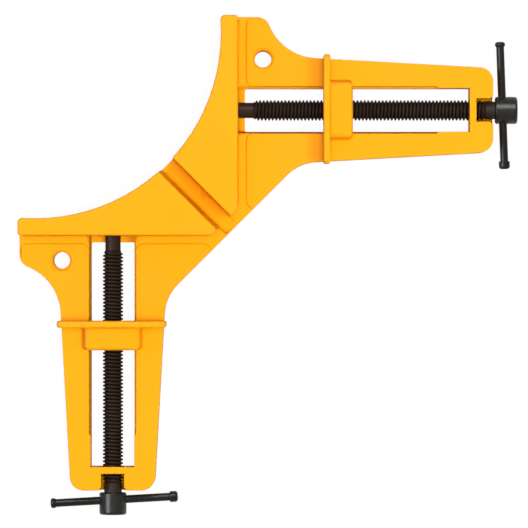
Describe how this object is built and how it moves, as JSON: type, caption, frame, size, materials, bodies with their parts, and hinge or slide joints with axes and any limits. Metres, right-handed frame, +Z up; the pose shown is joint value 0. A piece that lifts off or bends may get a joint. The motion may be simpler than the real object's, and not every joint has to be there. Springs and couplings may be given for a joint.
{
  "type": "corner clamp",
  "caption": "Cast corner clamp with a mitre channel and a screw-driven sliding jaw on each slotted arm, turned by sliding T-bars.",
  "frame": {"origin": "middle of the bounding box, on the bench face", "axes": "+X along the right arm away from its fence, -Y along the lower arm away from its fence, +Z up from the bench"},
  "size_m": [0.1944, 0.1944, 0.035],
  "materials": {
    "cast_paint": "satin yellow enamel on a die casting",
    "black_steel": "black oxide, lightly oiled",
    "spring_steel": "dark phosphated spring steel"
  },
  "bodies": {
    "frame": {"frame": "cast_paint"},
    "right_spindle": {"right_spindle": "black_steel", "right_spindle_head": "black_steel", "right_thrust_washer": "black_steel", "right_retaining_clip": "spring_steel"},
    "right_jaw": {"right_jaw": "cast_paint"},
    "right_tbar": {"right_tbar": "black_steel", "right_tbar_cap": "black_steel"},
    "lower_spindle": {"lower_spindle": "black_steel", "lower_spindle_head": "black_steel", "lower_thrust_washer": "black_steel", "lower_retaining_clip": "spring_steel"},
    "lower_jaw": {"lower_jaw": "cast_paint"},
    "lower_tbar": {"lower_tbar": "black_steel", "lower_tbar_cap": "black_steel"}
  },
  "joints": [
    {"name": "right_spindle_turn", "type": "hinge", "parent": "frame", "child": "right_spindle", "pos_m": [-0.01195, 0.06095, 0.008], "axis": [1, 0, 0], "range_deg": [-8430, 8350]},
    {"name": "right_jaw_slide", "type": "slide", "parent": "frame", "child": "right_jaw", "axis": [1, 0, 0], "range_m": [-0.033, 0.0327]},
    {"name": "right_tbar_slide", "type": "slide", "parent": "right_spindle", "child": "right_tbar", "axis": [-0.0366, 0.9993, 0], "range_m": [-0.019, 0.0143]},
    {"name": "lower_spindle_turn", "type": "hinge", "parent": "frame", "child": "lower_spindle", "pos_m": [-0.06095, 0.01195, 0.008], "axis": [0, -1, 0], "range_deg": [-8430, 8350]},
    {"name": "lower_jaw_slide", "type": "slide", "parent": "frame", "child": "lower_jaw", "axis": [0, -1, 0], "range_m": [-0.033, 0.0327]},
    {"name": "lower_tbar_slide", "type": "slide", "parent": "lower_spindle", "child": "lower_tbar", "axis": [-0.9984, -0.0558, 0], "range_m": [-0.0166, 0.0167]}
  ],
  "couplings": [
    {"joint": "right_spindle_turn", "follows": "right_jaw_slide", "rad_per_m": 4452.7},
    {"joint": "lower_spindle_turn", "follows": "lower_jaw_slide", "rad_per_m": 4452.7}
  ]
}
